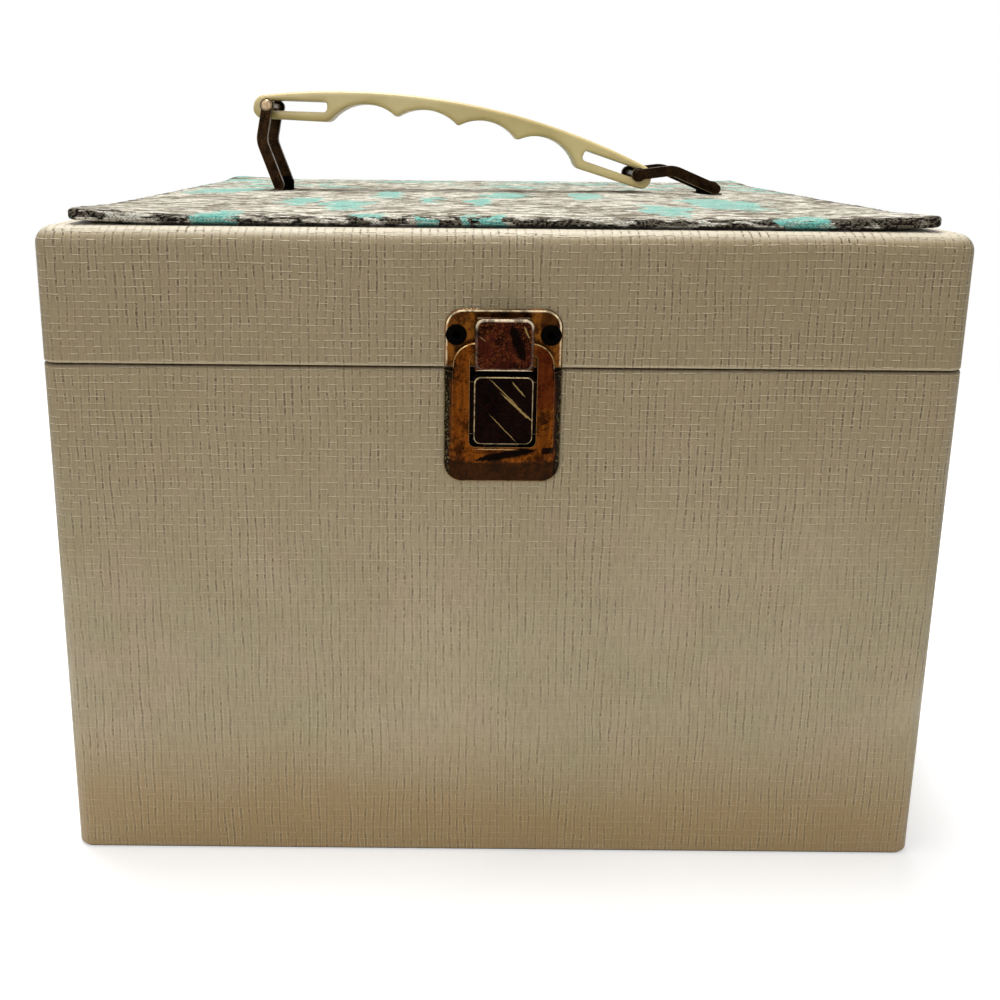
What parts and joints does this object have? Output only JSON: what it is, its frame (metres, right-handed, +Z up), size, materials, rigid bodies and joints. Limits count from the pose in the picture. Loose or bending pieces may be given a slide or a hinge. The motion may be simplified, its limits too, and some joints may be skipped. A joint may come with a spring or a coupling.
{
  "type": "sewing box",
  "caption": "Vinyl-covered sewing box with a hinged lid, fabric top pad, swinging carrying handle, front latch and lift-out tray.",
  "frame": {"origin": "middle of the flat base that the box stands on", "axes": "+Z up, +X to the right as seen from the front, -Y out of the front with the latch, hinges at +Y"},
  "size_m": [0.24, 0.1938, 0.2164],
  "materials": {
    "vinyl": "embossed satin",
    "base_paper": "matt",
    "board": "raw fibreboard",
    "lining": "matt",
    "tweed": "nubby weave",
    "antique_brass": "oxidised, worn",
    "dark_bronze": "oxidised, worn",
    "pin_steel": "dull",
    "ivory_plastic": "satin moulded",
    "tray_plastic": "moulded"
  },
  "bodies": {
    "case": {"case_front_panel": "board", "case_back_panel": "board", "case_left_panel": "board", "case_right_panel": "board", "case_bottom_panel": "board", "case_vinyl_cover": "vinyl", "case_base_sheet": "base_paper", "case_lining": "lining", "latch_base_plate": "antique_brass", "latch_cover_plate": "antique_brass", "latch_case_rivets": "dark_bronze", "latch_spring": "pin_steel", "left_hinge_case_leaf": "antique_brass", "right_hinge_case_leaf": "antique_brass", "left_hinge_pin": "pin_steel", "right_hinge_pin": "pin_steel", "hinge_case_rivets": "dark_bronze", "left_tray_ledge": "board", "right_tray_ledge": "board"},
    "lid": {"lid_front_panel": "board", "lid_back_panel": "board", "lid_left_panel": "board", "lid_right_panel": "board", "lid_top_panel": "board", "lid_vinyl_cover": "vinyl", "lid_lining": "lining", "pad_board": "board", "pad_fabric": "tweed", "left_foot_clip": "dark_bronze", "right_foot_clip": "dark_bronze", "left_foot_washer": "dark_bronze", "right_foot_washer": "dark_bronze", "latch_upper_plate": "antique_brass", "latch_upper_rivets": "dark_bronze", "hasp_pin": "pin_steel", "left_hinge_lid_leaf": "antique_brass", "right_hinge_lid_leaf": "antique_brass", "hinge_lid_rivets": "dark_bronze"},
    "hasp": {"latch_hasp": "dark_bronze"},
    "slide_button": {"latch_slide_button": "dark_bronze"},
    "left_bail": {"left_bail": "dark_bronze", "left_bail_pin": "pin_steel"},
    "right_bail": {"right_bail": "dark_bronze", "right_bail_pin": "pin_steel"},
    "grip": {"handle_grip": "ivory_plastic"},
    "tray": {"lift_out_tray": "tray_plastic"}
  },
  "joints": [
    {"name": "lid_hinge", "type": "hinge", "parent": "case", "child": "lid", "pos_m": [0, 0.0942, 0.143], "axis": [-1, 0, 0], "range_deg": [0, 100]},
    {"name": "hasp_hinge", "type": "hinge", "parent": "lid", "child": "hasp", "pos_m": [0, -0.09485, 0.1552], "axis": [-1, 0, 0], "range_deg": [0, 90]},
    {"name": "button_slide", "type": "slide", "parent": "case", "child": "slide_button", "axis": [0, 0, -1], "range_m": [0, 0.003], "stiffness_N_per_m": 300, "deforming": ["latch_spring"]},
    {"name": "handle_lift", "type": "hinge", "parent": "lid", "child": "right_bail", "pos_m": [0.0766, 0, 0.1844], "axis": [0, 1, 0], "range_deg": [0, 56.86]},
    {"name": "left_bail_swing", "type": "hinge", "parent": "lid", "child": "left_bail", "pos_m": [-0.0734, 0, 0.1844], "axis": [0, 1, 0], "range_deg": [0, 30.39]},
    {"name": "grip_swing", "type": "hinge", "parent": "left_bail", "child": "grip", "pos_m": [-0.07668, 0, 0.2111], "axis": [0, 1, 0], "range_deg": [-40.29, 0]},
    {"name": "tray_lift", "type": "slide", "parent": "case", "child": "tray", "axis": [0, 0, 1], "range_m": [0, 0.026]}
  ],
  "couplings": [
    {"joint": "left_bail_swing", "follows": "handle_lift", "ratio": 0.53355},
    {"joint": "grip_swing", "follows": "handle_lift", "ratio": -0.70763}
  ]
}
